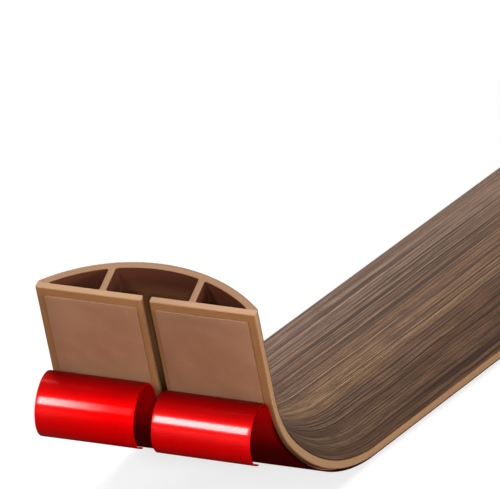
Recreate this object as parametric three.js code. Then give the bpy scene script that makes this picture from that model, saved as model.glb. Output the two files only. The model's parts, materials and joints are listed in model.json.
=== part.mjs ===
// Floor cord cover: a low arched strip of soft brown plastic that lies over cords on a floor.
// It is one long extrusion. Its flat base is slit along the middle, two webs divide the inside
// into three channels, and a thin wood-pattern film covers the arch. Two strips of adhesive
// tape run under the base, each behind a red release liner.
// The strip lies flat on the floor. Its near end is bent up, gently off the floor and then more
// tightly, and there both liners are peeled off the tape and roll forward.
//
// Axes: +Y runs along the strip away from the raised end, +X is across it, +Z is up.
// The origin is on the floor, under the middle of the whole object's box.

import * as THREE from "three";

// Driving dimensions, in millimetres and degrees.

// cover strip
const coverLength = 1000;
const coverWidth = 60;
const coverHeight = 14;
const edgeHeight = 2.1;
const edgeRound = 0.7;
const baseThickness = 2.2;
const archThickness = 1.9;
const webThickness = 1.9;
const webSpacing = 24.4;
const slitWidth = 2.3;
const cornerRound = 0.5;

// wood-pattern film on the arch
const filmThickness = 0.25;
const filmEdgeMargin = 0.6;

// adhesive tapes and their liners
const tapeWidth = 25;
const tapeThickness = 0.5;
const tapeFromSlit = 1.5;
const tapeFromEnds = 2.3;
const linerWidth = 27;
const linerFromSlit = 0.95;
const linerThickness = 0.3;

// raised end of the strip, measured on the underside of the base
const floorBendRadius = 130;
const floorBendAngle = 32;
const endBendRadius = 50;
const endBendAngle = 28;
const endStraight = 30;

// peeled ends of the liners, the peeled lengths measured from the raised end of the strip
const leftPeeledLength = 32.5;
const leftCurlRadius = 8.6;
const leftCurlAngle = 235;
const rightPeeledLength = 34;
const rightCurlRadius = 8.1;
const rightCurlAngle = 232;

// fineness of the facets
const archSegments = 20;
const channelSegments = 8;
const sideChannelSegments = 5;
const roundSegments = 2;
const bendStepDegrees = 5;
const curlStepDegrees = 8;
const flatSteps = 3;

// Derived places that several pieces share.

const radians = THREE.MathUtils.degToRad;
const halfWidth = coverWidth / 2;
const baseBottom = tapeThickness + linerThickness;
const tapeCentre = slitWidth / 2 + tapeFromSlit + tapeWidth / 2;
const linerCentre = slitWidth / 2 + linerFromSlit + linerWidth / 2;
const webInner = (webSpacing - webThickness) / 2;
const webOuter = (webSpacing + webThickness) / 2;

// The arch is one circle through the crest and both edges. Its inner face is concentric.
const archCrest = coverHeight - filmThickness;
const archRise = archCrest - edgeHeight;
const archRadius = (halfWidth ** 2 + archRise ** 2) / (2 * archRise);
const archCentre = archCrest - archRadius;
const archInnerRadius = archRadius - archThickness;
const filmHalfWidth = halfWidth - filmEdgeMargin;

// Path of the strip, from its far end to its raised end. A station is a cross-section of the
// strip: the point of the base's underside in the YZ plane, and the tilt of the section there,
// 0 where the strip lies flat.

const floorBendLength = floorBendRadius * radians(floorBendAngle);
const endBendLength = endBendRadius * radians(endBendAngle);
const flatLength = coverLength - floorBendLength - endBendLength - endStraight;

const stretches = [
  { length: flatLength, steps: flatSteps },
  { length: floorBendLength, radius: floorBendRadius, steps: bendSteps(floorBendAngle) },
  { length: endBendLength, radius: endBendRadius, steps: bendSteps(endBendAngle) },
  { length: endStraight, steps: 1 },
];

function bendSteps(angle) {
  return Math.ceil(angle / bendStepDegrees);
}

// The station a given length further on. A bend turns about a centre above the strip.
function moveOn(station, length, radius) {
  const { y, z, tilt } = station;
  if (!radius) {
    return { y: y - length * Math.cos(tilt), z: z + length * Math.sin(tilt), tilt };
  }
  const turned = tilt + length / radius;
  return {
    y: y + radius * (Math.sin(tilt) - Math.sin(turned)),
    z: z + radius * (Math.cos(tilt) - Math.cos(turned)),
    tilt: turned,
  };
}

function stationAt(distance) {
  let station = { y: flatLength, z: baseBottom, tilt: 0 };
  let rest = distance;
  for (const stretch of stretches) {
    const length = Math.min(rest, stretch.length);
    station = moveOn(station, length, stretch.radius);
    rest -= length;
  }
  return station;
}

// Distances from the far end at which every piece has a station, so that faces which touch on
// the bends have the same facets. The liners' peel lines are among them.
function sharedDistances() {
  const distances = [coverLength - leftPeeledLength, coverLength - rightPeeledLength];
  let start = 0;
  for (const stretch of stretches) {
    for (let step = 1; step <= stretch.steps; step += 1) {
      distances.push(start + (stretch.length * step) / stretch.steps);
    }
    start += stretch.length;
  }
  return distances.sort((a, b) => a - b);
}

// Stations of a piece that follows the strip from one distance to another.
function stripStations(from, to) {
  const between = sharedDistances().filter((distance) => distance > from && distance < to);
  return [from, ...between, to].map(stationAt);
}

// Stations of a liner: under the tape as far as the peel line, then round the curl, which
// turns the other way about a centre below the strip.
function linerStations(peeledLength, curlRadius, curlAngle) {
  const stations = stripStations(tapeFromEnds, coverLength - peeledLength);
  const peel = stations[stations.length - 1];
  const reach = curlRadius + tapeThickness;
  const centreY = peel.y - reach * Math.sin(peel.tilt);
  const centreZ = peel.z - reach * Math.cos(peel.tilt);
  const steps = Math.ceil(curlAngle / curlStepDegrees);
  for (let step = 1; step <= steps; step += 1) {
    const tilt = peel.tilt - (radians(curlAngle) * step) / steps;
    stations.push({
      y: centreY + reach * Math.sin(tilt),
      z: centreZ + reach * Math.cos(tilt),
      tilt,
    });
  }
  return stations;
}

// Extrudes a section with one layer for each station, then carries each layer to its station.
// In a section x is across the strip and y is the height above the base's underside.
function sweep(section, stations) {
  const layers = stations.length - 1;
  const geometry = new THREE.ExtrudeGeometry(section, {
    depth: layers,
    steps: layers,
    curveSegments: roundSegments,
    bevelEnabled: false,
  });
  const position = geometry.attributes.position;
  for (let i = 0; i < position.count; i += 1) {
    const station = stations[Math.round(position.getZ(i))];
    const height = position.getY(i);
    position.setY(i, station.y + height * Math.sin(station.tilt));
    position.setZ(i, station.z + height * Math.cos(station.tilt));
  }
  geometry.computeVertexNormals();
  return geometry;
}

// Sections.

// Points of an arc about the arch's centre line, from one x to another.
function archPoints(radius, fromX, toX, segments) {
  const from = Math.asin(fromX / radius);
  const to = Math.asin(toX / radius);
  const points = [];
  for (let i = 0; i <= segments; i += 1) {
    const angle = from + ((to - from) * i) / segments;
    points.push(new THREE.Vector2(radius * Math.sin(angle), archCentre + radius * Math.cos(angle)));
  }
  return points;
}

// Traces a closed outline. A corner is a point with a round, the length cut from both sides.
function trace(path, corners) {
  const count = corners.length;
  corners.forEach((corner, i) => {
    if (!corner.round) {
      if (i === 0) {
        path.moveTo(corner.point.x, corner.point.y);
      } else {
        path.lineTo(corner.point.x, corner.point.y);
      }
      return;
    }
    const before = corners[(i + count - 1) % count].point;
    const after = corners[(i + 1) % count].point;
    const start = corner.point.clone().sub(before).setLength(-corner.round).add(corner.point);
    const end = corner.point.clone().sub(after).setLength(-corner.round).add(corner.point);
    if (i === 0) {
      path.moveTo(start.x, start.y);
    } else {
      path.lineTo(start.x, start.y);
    }
    path.quadraticCurveTo(corner.point.x, corner.point.y, end.x, end.y);
  });
  path.closePath();
  return path;
}

function corner(x, y, round) {
  return { point: new THREE.Vector2(x, y), round };
}

function plain(points) {
  return points.map((point) => ({ point, round: 0 }));
}

function mirrored(corners) {
  return corners
    .map((item) => corner(-item.point.x, item.point.y, item.round))
    .reverse();
}

// The closed channel beside the right web: base, acute outer corner, arch and web.
function sideChannel() {
  const tipX = Math.sqrt(archInnerRadius ** 2 - (baseThickness - archCentre) ** 2);
  const arch = archPoints(archInnerRadius, tipX, webOuter, sideChannelSegments);
  const webTop = arch[arch.length - 1];
  return [
    corner(webOuter, baseThickness, cornerRound),
    corner(tipX, baseThickness, cornerRound),
    ...plain(arch.slice(1, -1)),
    corner(webTop.x, webTop.y, cornerRound),
  ];
}

// The body's outline runs from the left film edge down round the left edge, along the base to
// the slit, round the middle channel, back out of the slit and on to the right film edge,
// then back over the arch.
function bodySection() {
  const outerArch = archPoints(archRadius, filmHalfWidth, -filmHalfWidth, archSegments);
  const middleArch = archPoints(archInnerRadius, webInner, -webInner, channelSegments);
  const middleTop = middleArch[0];
  const rightHalf = [
    corner(webInner, baseThickness, cornerRound),
    corner(slitWidth / 2, baseThickness, cornerRound),
    corner(slitWidth / 2, 0, cornerRound),
    corner(halfWidth, 0, edgeRound),
    corner(halfWidth, edgeHeight, edgeRound),
  ];
  const shape = trace(new THREE.Shape(), [
    ...plain(outerArch),
    ...mirrored(rightHalf),
    corner(-middleTop.x, middleTop.y, cornerRound),
    ...plain(middleArch.slice(1, -1).reverse()),
    corner(middleTop.x, middleTop.y, cornerRound),
    ...rightHalf,
  ]);
  shape.holes.push(trace(new THREE.Path(), sideChannel()));
  shape.holes.push(trace(new THREE.Path(), mirrored(sideChannel())));
  return shape;
}

function filmSection() {
  const under = archPoints(archRadius, filmHalfWidth, -filmHalfWidth, archSegments);
  const spread = filmHalfWidth / archRadius;
  const topX = (archRadius + filmThickness) * spread;
  const top = archPoints(archRadius + filmThickness, -topX, topX, archSegments);
  return trace(new THREE.Shape(), plain([...under, ...top]));
}

function stripSection(centreX, width, bottom, thickness) {
  return trace(new THREE.Shape(), [
    corner(centreX - width / 2, bottom, 0),
    corner(centreX + width / 2, bottom, 0),
    corner(centreX + width / 2, bottom + thickness, 0),
    corner(centreX - width / 2, bottom + thickness, 0),
  ]);
}

// Materials.

const brownPlastic = new THREE.MeshStandardMaterial({ color: 0xa5784f, roughness: 0.6, metalness: 0 });
const woodFilm = new THREE.MeshStandardMaterial({ color: 0x75604d, roughness: 0.45, metalness: 0 });
const adhesive = new THREE.MeshStandardMaterial({ color: 0x91644e, roughness: 0.4, metalness: 0 });
const redLiner = new THREE.MeshStandardMaterial({ color: 0xd80a0a, roughness: 0.2, metalness: 0 });

// Pieces.

function makePiece(name, section, stations, material) {
  const mesh = new THREE.Mesh(sweep(section, stations), material);
  mesh.name = name;
  return mesh;
}

function makeTape(name, side) {
  const section = stripSection(side * tapeCentre, tapeWidth, -tapeThickness, tapeThickness);
  const stations = stripStations(tapeFromEnds, coverLength - tapeFromEnds);
  return makePiece(name, section, stations, adhesive);
}

function makeLiner(name, side, peeledLength, curlRadius, curlAngle) {
  const section = stripSection(side * linerCentre, linerWidth, -baseBottom, linerThickness);
  const stations = linerStations(peeledLength, curlRadius, curlAngle);
  return makePiece(name, section, stations, redLiner);
}

const floorCordCover = new THREE.Group();
floorCordCover.add(
  makePiece("cover_body", bodySection(), stripStations(0, coverLength), brownPlastic),
  makePiece("wood_film", filmSection(), stripStations(0, coverLength), woodFilm),
  makeTape("adhesive_tape_left", -1),
  makeTape("adhesive_tape_right", 1),
  makeLiner("release_liner_left", -1, leftPeeledLength, leftCurlRadius, leftCurlAngle),
  makeLiner("release_liner_right", 1, rightPeeledLength, rightCurlRadius, rightCurlAngle),
);

// The box of the whole object is centred over the origin.
const box = new THREE.Box3().setFromObject(floorCordCover, true);
floorCordCover.position.y = -(box.min.y + box.max.y) / 2;

export default floorCordCover;
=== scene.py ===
# %% [markdown]
# # Floor cord cover
# A floor cord cover is a low arched strip of soft brown plastic with channels inside. It is
# stuck to a floor, and its base is slit along the middle, so that it opens when it is bent. A
# thin wood-pattern film covers the arch. Two strips of adhesive tape run under the base, each
# behind a red release liner. The strip's near end is bent up, and there both liners are peeled
# off and curl forward.
#
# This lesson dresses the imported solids: each piece is computed again as a finer surface, in the
# same place, and gets a procedural finish.

# %% Load the frame
import json
import math

import bmesh
import bpy
import numpy as np
from mathutils import Matrix, Vector
from mathutils.geometry import tessellate_polygon

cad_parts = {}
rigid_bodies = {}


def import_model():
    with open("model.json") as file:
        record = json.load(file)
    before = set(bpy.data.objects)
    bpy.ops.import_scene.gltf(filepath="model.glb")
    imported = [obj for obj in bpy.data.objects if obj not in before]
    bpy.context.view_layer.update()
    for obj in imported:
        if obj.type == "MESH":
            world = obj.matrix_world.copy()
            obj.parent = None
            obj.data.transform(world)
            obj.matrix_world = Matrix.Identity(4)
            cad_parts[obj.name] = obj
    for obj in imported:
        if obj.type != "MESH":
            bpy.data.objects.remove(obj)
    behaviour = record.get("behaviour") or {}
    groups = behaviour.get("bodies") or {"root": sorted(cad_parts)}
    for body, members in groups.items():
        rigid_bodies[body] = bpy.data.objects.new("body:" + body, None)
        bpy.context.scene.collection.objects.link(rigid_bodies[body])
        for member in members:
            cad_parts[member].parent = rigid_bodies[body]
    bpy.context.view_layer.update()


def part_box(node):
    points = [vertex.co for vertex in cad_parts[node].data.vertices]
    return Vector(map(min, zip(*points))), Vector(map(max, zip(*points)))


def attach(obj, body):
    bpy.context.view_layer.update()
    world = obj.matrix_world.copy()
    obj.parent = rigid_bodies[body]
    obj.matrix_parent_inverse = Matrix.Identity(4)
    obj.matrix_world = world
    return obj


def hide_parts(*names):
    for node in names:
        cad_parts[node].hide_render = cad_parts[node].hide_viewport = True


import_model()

# %% [markdown]
# ## Camera
# The picture is taken from far away with a long lens, so that parallel edges stay almost
# parallel. The camera stands to the right of the raised end, a little above it. Its place and
# its three directions are given outright, because a matrix has no ambiguity about roll.

# %% Camera
view_forward = Vector((-0.319725, 0.907836, -0.271311)).normalized()
view_right = Vector((0.939573, 0.340757, 0.032978)).normalized()
view_up = view_right.cross(view_forward).normalized()

camera_place = Vector((1.329348, -4.18195, 1.187))
raised_end = Vector((0.0, -0.407, 0.059))

camera_data = bpy.data.cameras.new("long_lens")
camera_data.sensor_width = 36.0
camera_data.lens = 1152.0
camera_data.clip_start = 0.1
camera_data.clip_end = 200.0
camera = bpy.data.objects.new("camera", camera_data)
turn = Matrix((view_right, view_up, -view_forward)).transposed()
camera.matrix_world = Matrix.Translation(camera_place) @ turn.to_4x4()
bpy.context.scene.collection.objects.link(camera)
bpy.context.scene.camera = camera
print("camera distance in m:", round((camera_place - raised_end).length, 3))

# %% [markdown]
# ## The path of the strip
# Every piece of the cover is one section carried along the same bent path, as the real strip is
# one section pushed through a die and bent by hand later. So the path is worked out once. It
# runs from the far end: flat on the floor, a gentle bend off the floor, a tighter bend, and a
# straight end. All sizes are in millimetres, and the far end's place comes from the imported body.

# %% The path
MM = 0.001
cover_length = 1000.0
floor_bend_radius, floor_bend_angle = 130.0, math.radians(32)
end_bend_radius, end_bend_angle = 50.0, math.radians(28)
end_straight = 30.0
floor_bend_length = floor_bend_radius * floor_bend_angle
end_bend_length = end_bend_radius * end_bend_angle
flat_length = cover_length - floor_bend_length - end_bend_length - end_straight

body_low, body_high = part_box("cover_body")
far_end_y = body_high.y / MM
base_bottom = body_low.z / MM


def move_on(y, z, tilt, length, radius=None):
    """Carries stations on by a length.

    On a straight, a station moves by the length in the direction that its tilt gives. On a
    bend it turns by the length over the radius, about a centre above the strip, so it moves
    by the radius times the change of the tilt's sine and cosine.
    """
    if radius is None:
        return y - length * np.cos(tilt), z + length * np.sin(tilt), tilt
    turned = tilt + length / radius
    moved_y = y + radius * (np.sin(tilt) - np.sin(turned))
    moved_z = z + radius * (np.cos(tilt) - np.cos(turned))
    return moved_y, moved_z, turned


def strip_path(along):
    """Stations at distances from the far end: each stretch takes the part of the distance
    that falls inside it, and the stretches are walked one after the other."""
    y = np.full_like(along, far_end_y)
    z = np.full_like(along, base_bottom)
    tilt = np.zeros_like(along)
    start = 0.0
    for length, radius in (
        (flat_length, None),
        (floor_bend_length, floor_bend_radius),
        (end_bend_length, end_bend_radius),
        (end_straight, None),
    ):
        inside = np.clip(along - start, 0.0, length)
        y, z, tilt = move_on(y, z, tilt, inside, radius)
        start += length
    return np.stack([y, z, tilt], axis=1)


def stops(first, last, step=25.0, bend_step=1.4):
    """Distances for the stations between two ends: sparse where the strip is flat, and dense
    where it bends."""
    bend_start = flat_length
    bend_end = cover_length - end_straight
    flat = np.arange(first, bend_start, step)
    bent = np.arange(bend_start, bend_end, bend_step)
    straight = np.arange(bend_end, last, step / 4)
    every = np.concatenate([flat, bent, straight])
    every = every[(every >= first) & (every < last - 0.2)]
    return np.append(every, last)


tip = strip_path(np.array([cover_length]))[0]
print("raised end, y and z in mm:", tip[:2].round(2))
print("its tilt in degrees:", round(math.degrees(tip[2]), 1))

# %% [markdown]
# ## Sections and sweeps
# A section is drawn in two directions: x across the strip, and height above the underside of
# the base. Its corners are softened, because a plastic edge that leaves a die is never sharp,
# and a soft edge catches the light. The section is then carried along the path. The normals
# point outwards because outlines run anticlockwise and holes clockwise.

# %% Drawing a section
def soften(corners, cuts, steps=6):
    """Rounds the corners of a closed outline.

    A corner with a cut of c starts at the distance c before it and ends at the distance c
    after it, and a parabola with the corner as its control point joins the two.
    """
    corners = np.asarray(corners, dtype=float)
    cuts = np.asarray(cuts, dtype=float)
    before = np.roll(corners, 1, axis=0) - corners
    after = np.roll(corners, -1, axis=0) - corners
    before /= np.linalg.norm(before, axis=1, keepdims=True)
    after /= np.linalg.norm(after, axis=1, keepdims=True)
    t = np.linspace(0, 1, steps + 1)[None, :, None]
    start = (corners + before * cuts[:, None])[:, None]
    end = (corners + after * cuts[:, None])[:, None]
    middle = corners[:, None]
    curve = (1 - t) ** 2 * start + 2 * t * (1 - t) * middle + t**2 * end
    keep = (cuts[:, None] > 0) | (np.arange(steps + 1)[None, :] == 0)
    return curve[keep]


def outward(outline):
    """Outward directions of an outline's points: the mean of the two neighbouring edges'
    directions turned by a right angle, lengthened at corners so that an inset keeps its depth."""
    edge = np.roll(outline, -1, axis=0) - outline
    edge /= np.linalg.norm(edge, axis=1, keepdims=True)
    turned = np.stack([edge[:, 1], -edge[:, 0]], axis=1)
    mean = turned + np.roll(turned, 1, axis=0)
    return 2 * mean / np.maximum((mean**2).sum(axis=1, keepdims=True), 0.8)


square = np.array([(0.0, 0.0), (4.0, 0.0), (4.0, 4.0), (0.0, 4.0)])
print("a square with softened corners has", len(soften(square, [1.0] * 4)), "points")

# %% [markdown]
# A cut end gets a small rounded rim. It is made with the same sweep: the last stations shrink
# the section by a hair while they move on by a quarter circle.

# %% Carrying a section along stations
def rimmed(along, rim, steps=3):
    """Adds a rim at both ends: distances follow the sine of a quarter turn, and the inset
    follows one minus its cosine. Returns the distances and the inset at each of them."""
    angle = np.linspace(0, math.pi / 2, steps + 1)
    advance, shrink = rim * np.sin(angle), rim * (1 - np.cos(angle))
    first, last = along[0], along[-1]
    inner = along[(along > first + rim) & (along < last - rim)]
    far = first + rim - advance[::-1]
    near = last - rim + advance
    inset = np.concatenate([shrink[::-1], np.zeros(len(inner)), shrink])
    return np.concatenate([far, inner, near]), inset


def carry(outline, stations, inset, lift=0.0):
    """Places an outline at every station: a point goes to the station plus its height along
    the section's own upward direction, which is (sine, cosine) of the tilt in y and z."""
    shrunk = outline[None] - inset[:, None, None] * outward(outline)[None]
    x = shrunk[..., 0]
    height = shrunk[..., 1] + lift
    y = stations[:, 0, None] + height * np.sin(stations[:, 2, None])
    z = stations[:, 1, None] + height * np.cos(stations[:, 2, None])
    return np.stack([x, y, z], axis=-1) * MM


def wrap_quads(rows, columns):
    """Quads between the rows of a grid whose last column joins its first."""
    row, column = np.meshgrid(np.arange(rows - 1), np.arange(columns), indexing="ij")
    after = (column + 1) % columns
    corners = [row * columns + column, row * columns + after]
    corners += [(row + 1) * columns + after, (row + 1) * columns + column]
    return np.stack(corners, axis=-1).reshape(-1, 4)


def signed_areas(points, found):
    """Half the cross product of two of each triangle's sides: positive if anticlockwise."""
    a, b, c = points[found[:, 0]], points[found[:, 1]], points[found[:, 2]]
    return ((b - a)[:, 0] * (c - a)[:, 1] - (b - a)[:, 1] * (c - a)[:, 0]) / 2


def lid(outlines):
    """Triangles that fill the first outline and leave the others open, all anticlockwise:
    a triangle whose signed area is negative has two of its corners swapped."""
    found = tessellate_polygon([[Vector((x, h, 0)) for x, h in o.tolist()] for o in outlines])
    found = np.array([tuple(t) for t in found])
    area = signed_areas(np.concatenate(outlines), found)
    swapped = found[:, ::-1]
    found = np.where((area < 0)[:, None], swapped, found)
    return found[np.abs(area) > 1e-9], np.abs(area).sum()


def ladder(outlines):
    """Triangles that fill a flat strip's outline, which has many points in line. A point lies
    across from the one that is as far from the outline's end as it is from its start, so the
    pairs are the rungs of a ladder, with two triangles between each rung and the next."""
    (outline,) = outlines
    first = np.arange(len(outline) // 2 - 1)
    last = len(outline) - 1 - first
    lower = np.stack([first, first + 1, last - 1], axis=1)
    upper = np.stack([first, last - 1, last], axis=1)
    found = np.concatenate([lower, upper])
    return found, signed_areas(outline, found).sum()


print("a lid on the sharp square measures", round(lid([square])[1], 2), "mm2")

# %% [markdown]
# The mesh gets a map in real lengths, in metres: u runs round the section and v runs along the
# strip. Patterns that follow the strip, such as wood grain, read this map, so they bend with it.
# The cut ends are marked with an attribute, because a cut face is lighter than a moulded skin.

# %% Making a piece
sharp_angle = math.radians(42)


def swept_piece(
    name, outlines, along, stations, inset, lifts=None, around=None, shares_by_name=None, fill=lid
):
    """Joins the swept outlines of a section into one closed mesh with a lid at each end."""
    lifts = lifts or [0.0] * len(outlines)
    rows = len(stations)
    blocks = [carry(o, stations, inset, lift) for o, lift in zip(outlines, lifts)]
    sizes = np.array([len(o) for o in outlines])
    firsts = np.concatenate([[0], np.cumsum(sizes * rows)[:-1]])
    points = np.concatenate([b.reshape(-1, 3) for b in blocks])
    quads = np.concatenate([wrap_quads(rows, n) + f for n, f in zip(sizes, firsts)])

    maps = []
    for outline, given in zip(outlines, around or [None] * len(outlines)):
        if given is None:
            closed = np.vstack([outline, outline[:1]])
            length = np.linalg.norm(np.diff(closed, axis=0), axis=1)
            given = np.concatenate([[0.0], np.cumsum(length)])
        u = np.stack([given[:-1], given[1:], given[1:], given[:-1]], axis=-1)
        v = np.stack([along[:-1], along[:-1], along[1:], along[1:]], axis=-1)
        u = np.broadcast_to(u[None], (rows - 1, *u.shape))
        v = np.broadcast_to(v[:, None], u.shape)
        maps.append(np.stack([u, v], axis=-1).reshape(-1, 2))

    triangles, area = fill([o - inset[-1] * outward(o) for o in outlines])
    flat = np.concatenate(outlines)
    near = np.concatenate([f + (rows - 1) * n + np.arange(n) for n, f in zip(sizes, firsts)])
    far = np.concatenate([f + np.arange(n) for n, f in zip(sizes, firsts)])
    lids = np.concatenate([near[triangles], far[triangles[:, ::-1]]])
    lid_map = np.concatenate([flat[triangles], flat[triangles[:, ::-1]] + (0.0, 40.0)])
    maps.append(lid_map.reshape(-1, 2))

    corners = np.concatenate([quads.ravel(), lids.ravel()])
    totals = np.concatenate([np.full(len(quads), 4), np.full(len(lids), 3)])
    starts = np.concatenate([[0], np.cumsum(totals)[:-1]])
    mesh = bpy.data.meshes.new(name)
    mesh.vertices.add(len(points))
    mesh.vertices.foreach_set("co", points.ravel())
    mesh.loops.add(len(corners))
    mesh.loops.foreach_set("vertex_index", corners.astype(np.int32))
    mesh.polygons.add(len(totals))
    mesh.polygons.foreach_set("loop_start", starts.astype(np.int32))
    mesh.update(calc_edges=True)
    strip_map = mesh.uv_layers.new(name="strip_map")
    strip_map.data.foreach_set("uv", (np.concatenate(maps) * MM).ravel())
    cut = np.zeros(len(totals))
    cut[len(quads):] = 1.0
    mesh.attributes.new("cut_end", "FLOAT", "FACE").data.foreach_set("value", cut)
    for key, shares in (shares_by_name or {}).items():
        every = np.concatenate([share.ravel() for share in shares])
        mesh.attributes.new(key, "FLOAT", "POINT").data.foreach_set("value", every)
    smooth = np.ones(len(totals), dtype=bool)
    smooth[len(quads):] = False
    mesh.polygons.foreach_set("use_smooth", smooth)
    mesh.set_sharp_from_angle(angle=sharp_angle)
    mesh.validate()

    piece = bpy.data.objects.new(name, mesh)
    bpy.context.scene.collection.objects.link(piece)
    shell = bmesh.new()
    shell.from_mesh(mesh)
    open_edges = sum(1 for e in shell.edges if not e.is_manifold)
    volume = shell.calc_volume(signed=True) * 1e6
    shell.free()
    print(f"{name}: {len(points)} points, {open_edges} open edges")
    print(f"{name}: {volume:.2f} cm3, each lid {area:.1f} mm2")
    return piece


def compare(piece, node):
    """Prints how far a finer piece's box is from the box of the solid that it stands for."""
    low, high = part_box(node)
    corners = np.array(piece.bound_box)
    apart = np.concatenate([corners.min(axis=0) - low, corners.max(axis=0) - high]) / MM
    print(f"{piece.name} against {node}, in mm: {apart.round(3)}")


# %% [markdown]
# ## The cover body
# The body is a long extrusion of flexible plastic. Its arch is one circle through the crest and
# both edges, with a concentric inner face. Two webs stand between base and arch and leave three
# channels. The middle one is open to the floor through the slit, so one outline runs round the
# body and through the slit, and only the side channels are holes.

# %% The body's measures, in mm
cover_width = 60.0
cover_height = 14.0
edge_height = 2.1
base_thickness = 2.2
wall = 1.9
web_spacing = 24.4
slit_width = 2.3
corner_round = 0.5
edge_round = 0.7
film_edge_round = 0.3
film_thickness = 0.25
film_margin = 0.3

half_width = cover_width / 2
web_inner = (web_spacing - wall) / 2
web_outer = (web_spacing + wall) / 2
crest = cover_height - film_thickness
rise = crest - edge_height
arch_radius = (half_width**2 + rise**2) / (2 * rise)
arch_centre = crest - arch_radius
inner_radius = arch_radius - wall
film_half_width = half_width - film_margin
print(f"arch radius {arch_radius:.2f} mm")


# %% The body's outline
def arch_points(radius, from_x, to_x, segments):
    """Points of a circle about the arch's centre: x is the radius times the sine of the angle
    from the vertical, and the height is the centre's plus the radius times its cosine."""
    angle = np.linspace(math.asin(from_x / radius), math.asin(to_x / radius), segments + 1)
    return np.stack([radius * np.sin(angle), arch_centre + radius * np.cos(angle)], axis=1)


outer_arch = arch_points(arch_radius, film_half_width, -film_half_width, 72)
middle_arch = arch_points(inner_radius, -web_inner, web_inner, 30)
right_half = np.array([
    (web_inner, base_thickness),
    (slit_width / 2, base_thickness),
    (slit_width / 2, 0.0),
    (half_width, 0.0),
    (half_width, edge_height),
])
right_cuts = [corner_round, corner_round, corner_round, edge_round, film_edge_round]
left_half = right_half[::-1] * (-1, 1)
body_corners = np.concatenate([outer_arch, left_half, middle_arch, right_half])
middle_cuts = [corner_round] + [0] * (len(middle_arch) - 2) + [corner_round]
body_cuts = [0] * len(outer_arch) + right_cuts[::-1] + middle_cuts + right_cuts
body_outline = soften(body_corners, body_cuts)
print("points round the body:", len(body_outline))

# %% The side channels' outlines
tip_x = math.sqrt(inner_radius**2 - (base_thickness - arch_centre) ** 2)
side_arch = arch_points(inner_radius, web_outer, tip_x, 20)
side_corners = np.vstack([(web_outer, base_thickness), side_arch])
side_cuts = [corner_round, corner_round] + [0] * (len(side_arch) - 2) + [corner_round]
right_channel = soften(side_corners, side_cuts)
left_channel = right_channel[::-1] * (-1, 1)
print(f"side channel's tip at x {tip_x:.2f} mm")


# %% [markdown]
# Light and shade are painted into the plastic's colour: the channels get painted shade behind
# their mouths, and the upright sides and the slit's walls get painted light. Noise in a material
# can't find such places, so every point of the mesh carries two shares, which the material reads
# as attributes.

# %% Where the body's colour changes
def inner_share(outline):
    """1 at the points that lie inside the channels, 0 elsewhere: inside means nearer to the
    middle than the outer faces of the webs, above the base's underside and below the arch's
    outer face."""
    x, height = outline.T
    under_arch = np.hypot(x, height - arch_centre) < inner_radius + 0.1
    return ((np.abs(x) < web_outer) & (height >= base_thickness) & under_arch).astype(float)


def side_share(outline):
    """Share of painted light: 1 on the two upright side faces, falling to 0 over the last 0.2 mm
    of their rounding, and
    0.8 on the two walls of the slit, between its lower rounding and the base's upper face."""
    x, height = outline.T
    upright = np.clip((np.abs(x) - half_width + 0.25) / 0.2, 0.0, 1.0)
    in_base = (height > 0.9 * corner_round) & (height < base_thickness)
    return np.maximum(upright, 0.8 * in_base * (np.abs(x) < slit_width / 2 + 0.1))


def near_mouth(along, depth=9.0, fade=5.0):
    """The share along the strip of the channels' painted shade: 1 from each cut end to the depth
    inside, then falling to 0 over the fade's length.
    """
    inside = np.minimum(along, cover_length - along)
    return np.clip((depth + fade - inside) / fade, 0.0, 1.0)


body_outlines = [body_outline, right_channel, left_channel]
channel_shares = [
    inner_share(body_outline), np.ones(len(right_channel)), np.ones(len(left_channel))
]
side_shares = [side_share(outline) for outline in body_outlines]
print("points inside the channels:", int(sum(share.sum() for share in channel_shares)))

# %% Sweep the body
end_rim = 0.09
body_along, body_inset = rimmed(stops(0.0, cover_length), end_rim)
# The two shares carry painted shade in the channels behind their mouths and painted light on the
# upright sides and the slit's walls.
cover = swept_piece(
    "cover_strip", body_outlines, body_along, strip_path(body_along), body_inset,
    shares_by_name={
        "mouth_painted_shade": [near_mouth(body_along)[:, None] * share for share in channel_shares],
        "side_painted_light": [np.ones((len(body_along), 1)) * share for share in side_shares],
    },
)
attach(cover, "root")
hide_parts("cover_body")
compare(cover, "cover_body")

# %% [markdown]
# ## The wood-pattern film
# The film is printed and laminated onto the arch, and ends just short of both edges. It is a
# band of two concentric arcs. Its map counts the distance across the strip from the crest, the
# same above and below, so the printed pattern has no seam.

# %% Sweep the film
film_round = 0.08
film_rim = 0.05
film_spread = math.asin(film_half_width / arch_radius)
film_angle = np.linspace(-film_spread, film_spread, 97)


def film_arc(radius):
    """The arc of the given radius over the film's whole angle, from left to right."""
    x, height = radius * np.sin(film_angle), arch_centre + radius * np.cos(film_angle)
    return np.stack([x, height], axis=1)


film_top = film_arc(arch_radius + film_thickness)[::-1]
film_corners = np.concatenate([film_arc(arch_radius), film_top])
film_cuts = np.zeros(len(film_corners))
film_cuts[[len(film_angle), -1]] = film_round
film_outline = soften(film_corners, film_cuts, steps=3)
film_across = np.arctan2(film_outline[:, 0], film_outline[:, 1] - arch_centre) * arch_radius
film_along, film_inset = rimmed(stops(0.0, cover_length), film_rim)
film = swept_piece(
    "wood_pattern_film", [film_outline], film_along, strip_path(film_along), film_inset,
    around=[np.append(film_across, film_across[0])],
)
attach(film, "root")
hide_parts("wood_film")
compare(film, "wood_film")

# %% [markdown]
# ## The adhesive tapes
# Each half of the base carries a strip of double-sided tape. It is soft, so its edges are
# rounded a little and its face is not quite even. The tapes stop short of both ends.

# %% Sweep the tapes
tape_width, tape_thickness = 25.0, 0.5
tape_from_slit = 1.5
tape_centre = slit_width / 2 + tape_from_slit + tape_width / 2
tape_end_margin = 2.3
tape_rim, tape_round = 0.1, 0.12
tape_along, tape_inset = rimmed(stops(tape_end_margin, cover_length - tape_end_margin), tape_rim)


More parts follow.
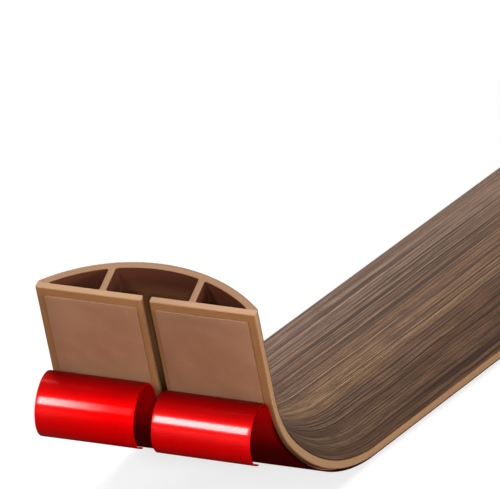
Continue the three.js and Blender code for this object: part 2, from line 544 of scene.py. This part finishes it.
def strip_outline(centre, width, low, high, cut, across):
    """A flat strip's section: its lower side runs to the right and its upper side back to the
    left, with points across it so that the strip can wave, and its four corners softened."""
    x = np.linspace(centre - width / 2, centre + width / 2, across + 1)
    lower = np.stack([x, np.full_like(x, low)], axis=1)
    upper = np.stack([x[::-1], np.full_like(x, high)], axis=1)
    cuts = np.zeros(2 * len(x))
    cuts[[0, across, across + 1, -1]] = cut
    return soften(np.concatenate([lower, upper]), cuts, steps=3)


tapes = []
for side, label in ((-1, "left"), (1, "right")):
    outline = strip_outline(side * tape_centre, tape_width, -tape_thickness, 0.0, tape_round, 6)
    tape = swept_piece(
        f"tape_{label}", [outline], tape_along, strip_path(tape_along), tape_inset, fill=ladder
    )
    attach(tape, "root")
    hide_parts(f"adhesive_tape_{label}")
    compare(tape, f"adhesive_tape_{label}")
    tapes.append(tape)

# %% [markdown]
# ## The release liners
# A liner is a thin glossy film that keeps the adhesive clean. Under the strip it follows the
# tape. Past the peel line it curls the other way, into a roll about a centre below the strip,
# because it was wound on a reel and keeps a set. A free film is never quite even, so the roll
# gets a shallow wave that grows from nothing at the peel line.

# %% The liners' path
liner_width, liner_thickness = 27.0, 0.3
liner_from_slit = 0.95
liner_centre = slit_width / 2 + liner_from_slit + liner_width / 2
liner_round = 0.07
liner_low, liner_high = -tape_thickness - liner_thickness, -tape_thickness
wave_height = 0.12


def liner_path(peeled_length, curl_radius, curl_angle, curl_step=math.radians(2.5)):
    """Stations of a liner: the strip's own path up to the peel line, then a turn by the curl
    angle about a centre that lies the curl radius and the tape's thickness below it."""
    along = stops(tape_end_margin, cover_length - peeled_length)
    stations = strip_path(along)
    y, z, tilt = stations[-1]
    reach = curl_radius + tape_thickness
    turned = tilt - np.linspace(0, curl_angle, math.ceil(curl_angle / curl_step) + 1)[1:]
    curl_y = y - reach * math.sin(tilt) + reach * np.sin(turned)
    curl_z = z - reach * math.cos(tilt) + reach * np.cos(turned)
    curl = np.stack([curl_y, curl_z, turned], axis=1)
    curl_along = along[-1] + reach * (tilt - turned)
    return np.concatenate([along, curl_along]), np.concatenate([stations, curl])


def waver(along, x, peel, amount, phase):
    """Height of the wave: the amount, times how far past the peel line a point is, up to 20 mm,
    times a slow sine along the liner and a slower one across it."""
    free = np.clip((along - peel) / 20.0, 0.0, 1.0)[:, None]
    return amount * free * np.sin(along[:, None] / 7.0 + phase) * np.cos(x[None] / 19.0 + phase)


def near_peel(along, peel):
    """Shares of painted shade, a deeper red, on a liner's upper and lower face: on the upper one,
    the roll's top, 1 up to 7 mm past the peel line, then falling to 0 over 15 mm, and on the lower
    one, the stuck film under the strip, falling from 1 to 0 over the last 24 mm before it. Each
    fall is 1 minus 3 t squared plus 2 t cubed."""
    upper = np.clip((along - peel - 7.0) / 15.0, 0.0, 1.0)
    lower = np.clip((along - peel + 24.0) / 24.0, 0.0, 1.0)
    return 1 - 3 * upper**2 + 2 * upper**3, 1 - 3 * lower**2 + 2 * lower**3


print("the liners' middles from the slit's middle, in mm:", round(liner_centre, 2))

# %% Sweep the liners
liners = []
for side, label, peeled_length, curl_radius, curl_degrees, phase in (
    (-1, "left", 32.5, 8.6, 235, 0.4),
    (1, "right", 34.0, 8.1, 232, 1.1),
):
    centre = side * liner_centre
    peel = cover_length - peeled_length
    outline = strip_outline(centre, liner_width, liner_low, liner_high, liner_round, 24)
    along, stations = liner_path(peeled_length, curl_radius, math.radians(curl_degrees))
    wave = waver(along, outline[:, 0], peel, wave_height, phase)
    from_side = liner_width / 2 - np.abs(outline[:, 0] - centre)
    # Painted shade: under the strip the film's thin sides turn near black, as a shadow line along
    # the floor.
    stuck = np.clip((peel - along) / 8.0, 0.0, 1.0)
    thin_side = stuck[:, None] * (from_side < 0.08)[None]
    # Painted shade: a deeper red on the roll's top next to the peel line and on the stuck film's
    # lower face under the strip.
    upper_face = outline[:, 1] > (liner_low + liner_high) / 2
    on_upper, on_lower = near_peel(along, peel)
    peel_painted_shade = np.where(upper_face[None], on_upper[:, None], on_lower[:, None])
    liner = swept_piece(
        f"liner_{label}", [outline], along, stations, np.zeros(len(along)),
        lifts=[wave], shares_by_name={"thin_side": [thin_side], "peel_painted_shade": [peel_painted_shade]}, fill=ladder,
    )
    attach(liner, "root")
    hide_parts(f"release_liner_{label}")
    compare(liner, f"release_liner_{label}")
    liners.append(liner)

# %% [markdown]
# ## Building finishes from nodes
# A finish is a network of nodes. A few small helpers place a node, set its values and join it
# to others, so that each finish below reads as a recipe. Two effects come back in several
# finishes, so they are groups: lines drawn along the strip, and a soft cloudy mottle.

# %% Node helpers
def place_node(tree, kind, at, **values):
    """Adds a node, sets its properties, and gives its input sockets the other values."""
    node = tree.nodes.new(kind)
    node.location = at
    for key, value in values.items():
        if key.startswith("in_"):
            node.inputs[key[3:].replace("_", " ")].default_value = value
        else:
            setattr(node, key, value)
    return node


def feed(tree, slot, value):
    """Gives an input socket a plain number or colour, or joins another node's output to it."""
    if isinstance(value, (int, float, tuple)):
        slot.default_value = value
    else:
        tree.links.new(value, slot)


def calculate(tree, operation, first, second, at):
    """A Math node on two values."""
    node = place_node(tree, "ShaderNodeMath", at, operation=operation)
    feed(tree, node.inputs[0], first)
    feed(tree, node.inputs[1], second)
    return node.outputs[0]


def blend_colours(tree, factor, first, second, at, blend_type="MIX"):
    """A Mix node on two colours."""
    node = place_node(tree, "ShaderNodeMix", at, data_type="RGBA", blend_type=blend_type)
    for slot, value in ((0, factor), (6, first), (7, second)):
        feed(tree, node.inputs[slot], value)
    return node.outputs[2]


def lay_over(tree, mask, most, below, colour, at):
    """Blends a colour over another one where a mask is, and at most by the share given."""
    share = calculate(tree, "MULTIPLY", mask, most, (at[0] - 200, at[1] + 60))
    return blend_colours(tree, share, below, colour, at)


def remap(tree, value, low, high, new_low, new_high, at):
    """A Map Range node: what lies from low to high is spread from new_low to new_high."""
    node = place_node(tree, "ShaderNodeMapRange", at, interpolation_type="SMOOTHSTEP")
    for slot, given in zip(node.inputs, (value, low, high, new_low, new_high)):
        feed(tree, slot, given)
    return node.outputs[0]


def read_share(tree, name, at):
    """A share that a piece's points or faces carry, as an Attribute node gives it."""
    return place_node(tree, "ShaderNodeAttribute", at, attribute_name=name).outputs["Fac"]


def start_group(name, takes, gives):
    """A new node group with its inputs, their kinds and first values, and its outputs."""
    group = bpy.data.node_groups.new(name, "ShaderNodeTree")
    for socket_name, kind, value in takes:
        socket = group.interface.new_socket(socket_name, in_out="INPUT", socket_type=kind)
        if value is not None:
            socket.default_value = value
    for socket_name, kind in gives:
        group.interface.new_socket(socket_name, in_out="OUTPUT", socket_type=kind)
    return group


# %% [markdown]
# The first group makes lines along the strip. It stretches noise by reading the map with many
# turns per metre across and few along. On plastic such lines are faint marks of the die, and
# on the printed film they are the grain.

# %% Group: lines along the strip
lines = start_group(
    "lines_along_strip",
    (
        ("Map", "NodeSocketVector", None),
        ("Across", "NodeSocketFloat", 400.0),
        ("Along", "NodeSocketFloat", 8.0),
        ("Seed", "NodeSocketFloat", 0.0),
        ("Low", "NodeSocketFloat", 0.4),
        ("High", "NodeSocketFloat", 0.6),
    ),
    (("Mask", "NodeSocketFloat"), ("Value", "NodeSocketFloat")),
)
given = lines.nodes.new("NodeGroupInput")
apart = place_node(lines, "ShaderNodeSeparateXYZ", (200, 0))
lines.links.new(given.outputs["Map"], apart.inputs[0])
across = calculate(lines, "MULTIPLY", apart.outputs[0], given.outputs["Across"], (400, 100))
along_strip = calculate(lines, "MULTIPLY", apart.outputs[1], given.outputs["Along"], (400, -60))
joined = place_node(lines, "ShaderNodeCombineXYZ", (600, 0))
lines.links.new(across, joined.inputs[0])
lines.links.new(along_strip, joined.inputs[1])
lines.links.new(given.outputs["Seed"], joined.inputs[2])
noise = place_node(
    lines, "ShaderNodeTexNoise", (800, 0), in_Scale=1.0, in_Detail=3.0, in_Roughness=0.6
)
lines.links.new(joined.outputs[0], noise.inputs["Vector"])
spread = remap(
    lines, noise.outputs[0], given.outputs["Low"], given.outputs["High"], 0.0, 1.0, (1000, 0)
)
given_back = place_node(lines, "NodeGroupOutput", (1200, 0))
lines.links.new(spread, given_back.inputs["Mask"])
lines.links.new(noise.outputs[0], given_back.inputs["Value"])
print("group", lines.name, "has", len(lines.nodes), "nodes")

# %% [markdown]
# The second group makes a soft mottle. Moulded plastic and adhesive are never one even tone:
# they have clouds a few millimetres wide and a fine tooth on the skin. The group puts out a
# colour between two given ones, and a height for the skin's tooth.

# %% Group: soft mottle
mottle = start_group(
    "soft_mottle",
    (
        ("Place", "NodeSocketVector", None),
        ("Cloud Scale", "NodeSocketFloat", 60.0),
        ("Tooth Scale", "NodeSocketFloat", 1500.0),
        ("Dark", "NodeSocketColor", (0.2, 0.1, 0.05, 1.0)),
        ("Light", "NodeSocketColor", (0.3, 0.2, 0.1, 1.0)),
    ),
    (("Color", "NodeSocketColor"), ("Height", "NodeSocketFloat")),
)
given = mottle.nodes.new("NodeGroupInput")
clouds = place_node(mottle, "ShaderNodeTexNoise", (250, 100), in_Detail=4.0, in_Roughness=0.55)
tooth = place_node(mottle, "ShaderNodeTexNoise", (250, -150), in_Detail=2.0)
for texture, size in ((clouds, "Cloud Scale"), (tooth, "Tooth Scale")):
    mottle.links.new(given.outputs["Place"], texture.inputs["Vector"])
    mottle.links.new(given.outputs[size], texture.inputs["Scale"])
cloud_mask = remap(mottle, clouds.outputs[0], 0.3, 0.7, 0.0, 1.0, (450, 100))
shade = blend_colours(
    mottle, cloud_mask, given.outputs["Dark"], given.outputs["Light"], (650, 100)
)
given_back = place_node(mottle, "NodeGroupOutput", (850, 0))
mottle.links.new(shade, given_back.inputs["Color"])
mottle.links.new(tooth.outputs[0], given_back.inputs["Height"])
print("group", mottle.name, "has", len(mottle.nodes), "nodes")

# %% [markdown]
# Every finish starts the same way: a Principled shader, the object's own coordinates for
# patterns that fill a piece, and the strip's map for patterns that follow it.

# %% Starting and giving a finish
def start_finish(name, roughness, specular):
    """A new material with its Principled shader, its Object coordinates and its map."""
    material = bpy.data.materials.new(name)
    material.use_nodes = True
    tree = material.node_tree
    tree.nodes.clear()
    shader = place_node(tree, "ShaderNodeBsdfPrincipled", (1600, 0), in_Roughness=roughness)
    shader.inputs["Specular IOR Level"].default_value = specular
    out = place_node(tree, "ShaderNodeOutputMaterial", (1900, 0))
    tree.links.new(shader.outputs[0], out.inputs[0])
    places = place_node(tree, "ShaderNodeTexCoord", (-600, -300))
    strip_map = place_node(tree, "ShaderNodeUVMap", (-600, 100), uv_map="strip_map")
    return material, tree, shader, places.outputs["Object"], strip_map.outputs[0]


def place_group(tree, group, at, joins, **values):
    """Places a group in a material, joins sockets to some inputs and sets the other values."""
    node = place_node(tree, "ShaderNodeGroup", at, node_tree=group)
    for key, value in values.items():
        node.inputs[key.replace("_", " ")].default_value = value
    for key, socket in joins.items():
        tree.links.new(socket, node.inputs[key])
    return node


def bump(tree, shader, height, depth):
    """Feeds a height to the shader's Normal through a Bump node, its depth in metres."""
    node = place_node(tree, "ShaderNodeBump", (1350, -300), in_Strength=1.0, in_Distance=depth)
    tree.links.new(height, node.inputs["Height"])
    tree.links.new(node.outputs[0], shader.inputs["Normal"])


def finish_with(material, *finished):
    """Gives pieces one material, and says so."""
    for piece in finished:
        piece.data.materials.clear()
        piece.data.materials.append(material)
    print(material.name, "on", [piece.name for piece in finished])


# %% [markdown]
# ## Brown plastic
# The body is coloured through, in a warm tan that matches the film. The die leaves faint lines
# along the skin. A cut end shows the plastic without its skin, slightly lighter. The upright
# sides and the slit's walls are paled with painted light, and the channels are darkened with
# painted shade behind their mouths.

# %% Finish: brown plastic
# The paler tan is painted light on the upright sides and the slit's walls. The darkest brown is
# painted shade in the channels behind their mouths.
skin_dark, skin_light = (0.202, 0.086, 0.032, 1.0), (0.229, 0.100, 0.038, 1.0)
die_mark_brown = (0.160, 0.071, 0.028, 1.0)
cut_tan = (0.284, 0.158, 0.075, 1.0)
painted_shade_brown = (0.062, 0.017, 0.008, 1.0)
painted_light_tan = (0.385, 0.215, 0.110, 1.0)
skin_relief = 0.00004

plastic, tree, shader, place, strip_map = start_finish("brown_plastic_finish", 0.52, 0.25)
skin = place_group(
    tree, mottle, (0, 0), {"Place": place},
    Cloud_Scale=70.0, Tooth_Scale=2600.0, Dark=skin_dark, Light=skin_light,
)
die_marks = place_group(
    tree, lines, (0, -300), {"Map": strip_map},
    Across=900.0, Along=1.5, Seed=3.0, Low=0.35, High=0.65,
)
marked = lay_over(
    tree, die_marks.outputs["Mask"], 0.10, skin.outputs["Color"], die_mark_brown, (450, 0)
)
cut_face = read_share(tree, "cut_end", (250, 250))
coloured = lay_over(tree, cut_face, 0.55, marked, cut_tan, (700, 100))
not_cut = calculate(tree, "SUBTRACT", 1.0, cut_face, (700, 250))
# Painted shade: the channels' walls near the mouths turn dark brown.
inside = calculate(
    tree, "MULTIPLY", read_share(tree, "mouth_painted_shade", (700, 350)), not_cut, (900, 300)
)
shaded = blend_colours(tree, inside, coloured, painted_shade_brown, (1100, 200))
# Painted light: the upright sides and the slit's walls turn pale tan.
edged = lay_over(
    tree, read_share(tree, "side_painted_light", (1100, 500)), 0.9, shaded, painted_light_tan, (1350, 250)
)
tree.links.new(edged, shader.inputs["Base Color"])
relief = calculate(tree, "ADD", die_marks.outputs["Value"], skin.outputs["Height"], (700, -300))
bump(tree, shader, relief, skin_relief)
finish_with(plastic, cover)

# %% [markdown]
# ## Wood-pattern film
# The film is printed with a straight-grained walnut. Such a print has three scales: broad
# bands of warm and grey brown, streaks a millimetre or two wide, and fine light and dark lines
# broken by short pores. All run along the strip, so all read the map. A slow noise shifts the
# map sideways first, so that the grain wanders a little.

# %% Wood film: the grain's map
wander_reach = 0.003

wood, tree, shader, place, strip_map = start_finish("wood_film_finish", 0.42, 0.3)
wander = place_group(
    tree, lines, (-400, 400), {"Map": strip_map},
    Across=40.0, Along=4.0, Seed=11.0, Low=0.2, High=0.8,
)
shift = calculate(tree, "MULTIPLY", wander.outputs["Value"], wander_reach, (-200, 400))
parts = place_node(tree, "ShaderNodeSeparateXYZ", (-400, 150))
tree.links.new(strip_map, parts.inputs[0])
from_crest = calculate(tree, "ADD", parts.outputs[0], shift, (-200, 200))
grain_map = place_node(tree, "ShaderNodeCombineXYZ", (0, 200))
tree.links.new(from_crest, grain_map.inputs[0])
tree.links.new(parts.outputs[1], grain_map.inputs[1])

# %% Wood film: its lines
grain = {}
for row, (kind, across, along, seed, low, high) in enumerate((
    ("bands", 120.0, 2.5, 5.0, 0.36, 0.64),
    ("streaks", 560.0, 2.5, 1.0, 0.38, 0.64),
    ("dark_lines", 2100.0, 4.5, 2.0, 0.46, 0.60),
    ("light_lines", 2000.0, 4.0, 14.0, 0.50, 0.65),
    ("pores", 3000.0, 60.0, 8.0, 0.42, 0.62),
)):
    printed_lines = place_group(
        tree, lines, (200, 700 - 300 * row), {"Map": grain_map.outputs[0]},
        Across=across, Along=along, Seed=seed, Low=low, High=high,
    )
    grain[kind] = printed_lines.outputs["Mask"]
print("the print's lines:", list(grain))

# %% [markdown]
# The film is not even across the strip either. Left of the crest it is paler, partly print and
# partly painted light on the side that the overhead light reaches. It has one golden band of print
# to its right. Beyond that it is darker, partly print and partly painted shade on the side turned
# away from the light. Each of these is a share that depends on the distance from the crest, in
# metres. The paler side and the golden band lie under the fine lines, and the darker side
# multiplies over them, so the lines stay crisp.

# %% Wood film: colours
grey_brown, warm_brown = (0.148, 0.068, 0.040, 1.0), (0.252, 0.128, 0.062, 1.0)
streak_brown = (0.33, 0.19, 0.105, 1.0)
gold = (0.36, 0.21, 0.095, 1.0)
pale_print_and_light = (0.55, 0.348, 0.252, 1.0)
light_line, dark_line = (0.46, 0.28, 0.155, 1.0), (0.035, 0.018, 0.012, 1.0)
pore_brown = (0.050, 0.028, 0.018, 1.0)
dusk_print_and_shade = (0.44, 0.41, 0.41, 1.0)
film_cut_tan = (0.28, 0.155, 0.082, 1.0)
gold_middle = 0.0140
pore_relief = 0.00003

tone = blend_colours(tree, grain["bands"], grey_brown, warm_brown, (450, 700))
streaked = lay_over(tree, grain["streaks"], 0.60, tone, streak_brown, (650, 600))
off_gold = calculate(tree, "SUBTRACT", from_crest, gold_middle, (450, 950))
off_gold = calculate(tree, "ABSOLUTE", off_gold, 0.0, (650, 950))
gold_share = remap(tree, off_gold, 0.001, 0.0042, 0.42, 0.0, (850, 950))
golden = blend_colours(tree, gold_share, streaked, gold, (1050, 800))
# Paler left of the crest: partly print, partly painted light on the side that the overhead light
# reaches.
pale_print_and_light_share = remap(tree, from_crest, -0.013, 0.004, 0.88, 0.0, (850, 700))
paled_and_lit = blend_colours(tree, pale_print_and_light_share, golden, pale_print_and_light, (1200, 700))
lightened = lay_over(tree, grain["light_lines"], 0.70, paled_and_lit, light_line, (850, 500))
darkened = lay_over(tree, grain["dark_lines"], 0.86, lightened, dark_line, (1050, 400))
fine = lay_over(tree, grain["pores"], 0.55, darkened, pore_brown, (1200, 250))
# Darker right of the golden band: partly print, partly painted shade on the side turned away from
# the light.
dusk_print_and_shade_share = remap(tree, from_crest, 0.0150, 0.0215, 0.0, 0.85, (1050, -500))
dusky_and_shaded = blend_colours(tree, dusk_print_and_shade_share, fine, dusk_print_and_shade, (1250, 100), "MULTIPLY")
cut_face = read_share(tree, "cut_end", (1050, 450))
printed = blend_colours(tree, cut_face, dusky_and_shaded, film_cut_tan, (1400, 350))
tree.links.new(printed, shader.inputs["Base Color"])
dulled = remap(tree, grain["dark_lines"], 0.0, 1.0, 0.40, 0.58, (1050, -100))
tree.links.new(dulled, shader.inputs["Roughness"])
pore_depth = calculate(tree, "MULTIPLY", grain["dark_lines"], -1.0, (1050, -300))
bump(tree, shader, pore_depth, pore_relief)
finish_with(wood, film)

# %% [markdown]
# ## Adhesive
# Bare adhesive is a semi-gloss brown with a pinkish cast. It was pressed against its liner, so
# its face keeps a shallow unevenness, which the light shows as soft patches.

# %% Finish: adhesive
adhesive_dark, adhesive_light = (0.210, 0.097, 0.052, 1.0), (0.246, 0.119, 0.067, 1.0)
tooth_share = 0.06
swell_relief = 0.0004

sticky, tree, shader, place, strip_map = start_finish("adhesive_finish", 0.38, 0.4)
face = place_group(
    tree, mottle, (0, 0), {"Place": place},
    Cloud_Scale=45.0, Tooth_Scale=900.0, Dark=adhesive_dark, Light=adhesive_light,
)
tree.links.new(face.outputs["Color"], shader.inputs["Base Color"])
swell = place_node(tree, "ShaderNodeTexNoise", (0, -400), in_Scale=110.0, in_Detail=1.0)
tree.links.new(place, swell.inputs["Vector"])
tooth_height = calculate(tree, "MULTIPLY", face.outputs["Height"], tooth_share, (300, -300))
height = calculate(tree, "ADD", swell.outputs[0], tooth_height, (500, -300))
bump(tree, shader, height, swell_relief)
finish_with(sticky, *tapes)

# %% [markdown]
# ## Red liner film
# The liners are a saturated red film with a gloss. Shade is painted into their colour: a deeper
# red on the roll's top next to the peel line and on the stuck film under the strip, whose share
# an attribute gives, and near black on the stuck film's thin sides.
# Long faint lines from its drawing run along it, and its gloss is rubbed on the left liner,
# more and more towards the slit.

# %% Finish: red liner film
red_dark, red_light = (0.70, 0.0006, 0.0010, 1.0), (0.77, 0.0008, 0.0014, 1.0)
peel_shade_red = (0.13, 0.0004, 0.0008, 1.0)
edge_shade_red = (0.025, 0.0004, 0.0008, 1.0)
film_relief = 0.00002

red, tree, shader, place, strip_map = start_finish("red_liner_finish", 0.5, 0.0)
shader.inputs["Metallic"].default_value = 0.6
shader.inputs["Coat Roughness"].default_value = 0.16
shader.inputs["Coat IOR"].default_value = 1.38
tint = place_group(
    tree, mottle, (0, 0), {"Place": place},
    Cloud_Scale=55.0, Tooth_Scale=700.0, Dark=red_dark, Light=red_light,
)
# Painted shade: the liner turns a deeper red near the peel line on the roll's top and under the
# strip.
peel_shade_share = read_share(tree, "peel_painted_shade", (0, 400))
peel_shaded = lay_over(tree, peel_shade_share, 0.9, tint.outputs["Color"], peel_shade_red, (500, 250))
# Painted shade: near black on the stuck film's thin sides.
thin = read_share(tree, "thin_side", (500, 450))
all_shaded = blend_colours(tree, thin, peel_shaded, edge_shade_red, (800, 200))
tree.links.new(all_shaded, shader.inputs["Base Color"])
drawn = place_group(
    tree, lines, (0, -300), {"Map": strip_map},
    Across=260.0, Along=3.0, Seed=7.0, Low=0.3, High=0.7,
)
sheen = remap(tree, drawn.outputs["Mask"], 0.0, 1.0, 0.55, 0.61, (400, -200))
tree.links.new(sheen, shader.inputs["Roughness"])
bump(tree, shader, drawn.outputs["Value"], film_relief)

# %% [markdown]
# The gloss is a clear coat. It goes wherever the left liner is rubbed, and wherever the painted
# shade near the peel line is strong, so that no glint shows in it.

# %% Red liner film: its gloss
sideways = place_node(tree, "ShaderNodeSeparateXYZ", (200, -500))
tree.links.new(place, sideways.inputs[0])
towards_slit = remap(tree, sideways.outputs[0], -0.032, -0.007, 0.0, 0.97, (400, -500))
on_left = calculate(tree, "LESS_THAN", sideways.outputs[0], 0.0, (400, -700))
rubbed = calculate(tree, "MULTIPLY", towards_slit, on_left, (600, -500))
not_rubbed = calculate(tree, "SUBTRACT", 1.0, rubbed, (800, -500))
outside_peel_shade = remap(tree, peel_shade_share, 0.25, 0.65, 1.0, 0.0, (800, -650))
glossy = calculate(tree, "MULTIPLY", not_rubbed, outside_peel_shade, (1000, -500))
tree.links.new(glossy, shader.inputs["Coat Weight"])
finish_with(red, *liners)

# %% [markdown]
# ## Floor and light
# The object lies on a plain pale floor. It looks pale to the camera and throws little light
# back, so that the reds stay deep. A broad soft light overhead lights the film and the cut
# end, one from the right lights the long edge, a narrow one in front gives the bright band on
# the rolls, and a small one beside the camera reaches into the slit and the channels.

# %% Floor
half_floor = 150.0
floor_height = -0.00002
floor_mesh = bpy.data.meshes.new("floor")
floor_mesh.from_pydata(
    [(-half_floor, -half_floor, floor_height), (half_floor, -half_floor, floor_height),
     (half_floor, half_floor, floor_height), (-half_floor, half_floor, floor_height)],
    [], [(0, 1, 2, 3)],
)
floor = bpy.data.objects.new("floor", floor_mesh)
bpy.context.scene.collection.objects.link(floor)


def grey(value):
    """A neutral colour of the given brightness."""
    return (value, value, value, 1.0)


floor_finish = bpy.data.materials.new("pale_floor")
floor_finish.use_nodes = True
tree = floor_finish.node_tree
floor_shader = tree.nodes["Principled BSDF"]
floor_shader.inputs["Roughness"].default_value = 0.5
floor_shader.inputs["Specular IOR Level"].default_value = 0.08
floor_shader.inputs["Emission Strength"].default_value = 1.0
rays = place_node(tree, "ShaderNodeLightPath", (-600, 0))
seen, in_gloss = rays.outputs["Is Camera Ray"], rays.outputs["Is Glossy Ray"]
unseen = blend_colours(tree, in_gloss, grey(0.12), grey(0.02), (-500, 100))
floor_colour = blend_colours(tree, seen, unseen, grey(0.34), (-300, 0))
floor_glow = blend_colours(tree, seen, grey(0.0), grey(0.72), (-300, -250))
tree.links.new(floor_colour, floor_shader.inputs["Base Color"])
tree.links.new(floor_glow, floor_shader.inputs["Emission Color"])
floor_mesh.materials.append(floor_finish)
print("floor of", 2 * half_floor, "m on a side")

# %% Lights
roll_centre = Vector((0.0, -0.43, 0.035))


def place_lamp(data, towards):
    """A lamp whose light comes from a direction."""
    lamp = bpy.data.objects.new(data.name, data)
    lamp.rotation_mode = "QUATERNION"
    lamp.rotation_quaternion = towards.to_track_quat("Z", "Y")
    bpy.context.scene.collection.objects.link(lamp)
    return lamp


def soft_light(name, direction, distance, width, height, power):
    """An area light in a direction from the rolls, at a distance, facing them."""
    data = bpy.data.lights.new(name, "AREA")
    data.shape = "RECTANGLE"
    data.size, data.size_y = width, height
    data.energy = power
    towards = Vector(direction).normalized()
    lamp = place_lamp(data, towards)
    lamp.location = roll_centre + towards * distance
    lamp.visible_camera = False


def distant_light(name, direction, strength, softness):
    """A sun light from a direction, its softness the angle that it covers, in degrees."""
    data = bpy.data.lights.new(name, "SUN")
    data.energy = strength
    data.angle = math.radians(softness)
    place_lamp(data, Vector(direction).normalized())


distant_light("overhead_light", (-0.24, 0.42, 1.0), 1.95, 35.0)
soft_light("edge_light", (0.92, -0.38, 0.12), 2.0, 0.9, 0.35, 36.0)
soft_light("roll_light", (-0.32, -0.885, 0.355), 1.0, 0.16, 0.36, 6.3)
soft_light("fill_light", (0.33, -0.90, 0.255), 1.2, 0.12, 0.12, 8.0)
print("lights:", [light.name for light in bpy.data.lights])

# %% World
world = bpy.data.worlds.new("studio")
world.use_nodes = True
backdrop = world.node_tree.nodes["Background"]
rays = place_node(world.node_tree, "ShaderNodeLightPath", (-600, 0))
around_light = blend_colours(
    world.node_tree, rays.outputs["Is Camera Ray"], grey(0.10), grey(1.0), (-300, 0)
)
world.node_tree.links.new(around_light, backdrop.inputs["Color"])
bpy.context.scene.world = world
bpy.context.scene.view_settings.view_transform = "Standard"
bpy.context.scene.view_settings.look = "None"
print("world:", world.name)
